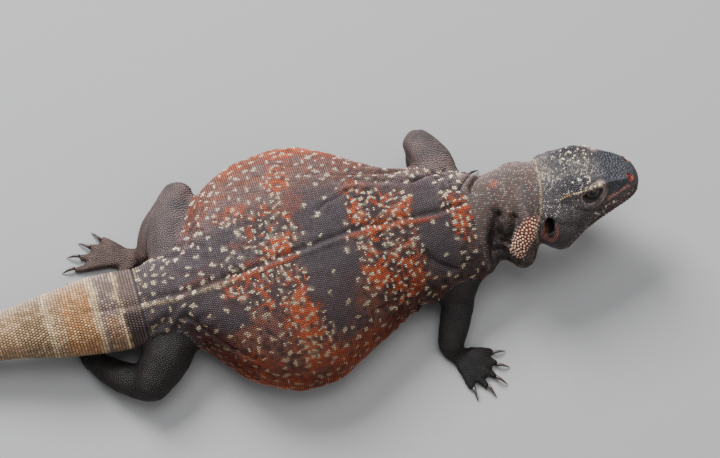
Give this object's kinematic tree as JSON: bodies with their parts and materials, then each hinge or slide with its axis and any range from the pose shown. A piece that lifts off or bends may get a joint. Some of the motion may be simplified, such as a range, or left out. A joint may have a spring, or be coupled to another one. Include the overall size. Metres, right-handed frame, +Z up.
{
  "type": "chuckwalla",
  "caption": "Life-size still model of a stout desert lizard lying flat with body puffed out, head raised and turned, legs tucked close and tail trailing.",
  "frame": {"origin": "on the floor, on the flat under the middle of the belly", "axes": "+X from tail to head, +Y to the animal's left, +Z up"},
  "size_m": [0.3783, 0.1137, 0.0472],
  "materials": {
    "dark_skin": "dry granular scales, dark slate to warm grey-brown",
    "torso_skin": "fine dry scales in rows, slate grey with rust-red bands and cream spots",
    "tail_skin": "ringed dry scales, straw and cream with darker bands at the base",
    "eye_surface": "wet and dark",
    "claw_horn": "dark smooth horn"
  },
  "bodies": {
    "root": {"head": "dark_skin", "lower_jaw": "dark_skin", "eye_left": "eye_surface", "eye_right": "eye_surface", "neck": "dark_skin", "torso": "torso_skin", "tail_1": "tail_skin", "tail_2": "tail_skin", "tail_3": "tail_skin", "tail_4": "tail_skin", "upper_arm_left": "dark_skin", "forearm_left": "dark_skin", "hand_left": "dark_skin", "upper_arm_right": "dark_skin", "forearm_right": "dark_skin", "hand_right": "dark_skin", "thigh_left": "dark_skin", "shin_left": "dark_skin", "foot_left": "dark_skin", "thigh_right": "dark_skin", "shin_right": "dark_skin", "foot_right": "dark_skin", "claw_hand_left_1": "claw_horn", "claw_hand_left_2": "claw_horn", "claw_hand_left_3": "claw_horn", "claw_hand_left_4": "claw_horn", "claw_hand_left_5": "claw_horn", "claw_hand_right_1": "claw_horn", "claw_hand_right_2": "claw_horn", "claw_hand_right_3": "claw_horn", "claw_hand_right_4": "claw_horn", "claw_hand_right_5": "claw_horn", "claw_foot_left_1": "claw_horn", "claw_foot_left_2": "claw_horn", "claw_foot_left_3": "claw_horn", "claw_foot_left_4": "claw_horn", "claw_foot_left_5": "claw_horn", "claw_foot_right_1": "claw_horn", "claw_foot_right_2": "claw_horn", "claw_foot_right_3": "claw_horn", "claw_foot_right_4": "claw_horn", "claw_foot_right_5": "claw_horn"}
  },
  "joints": []
}
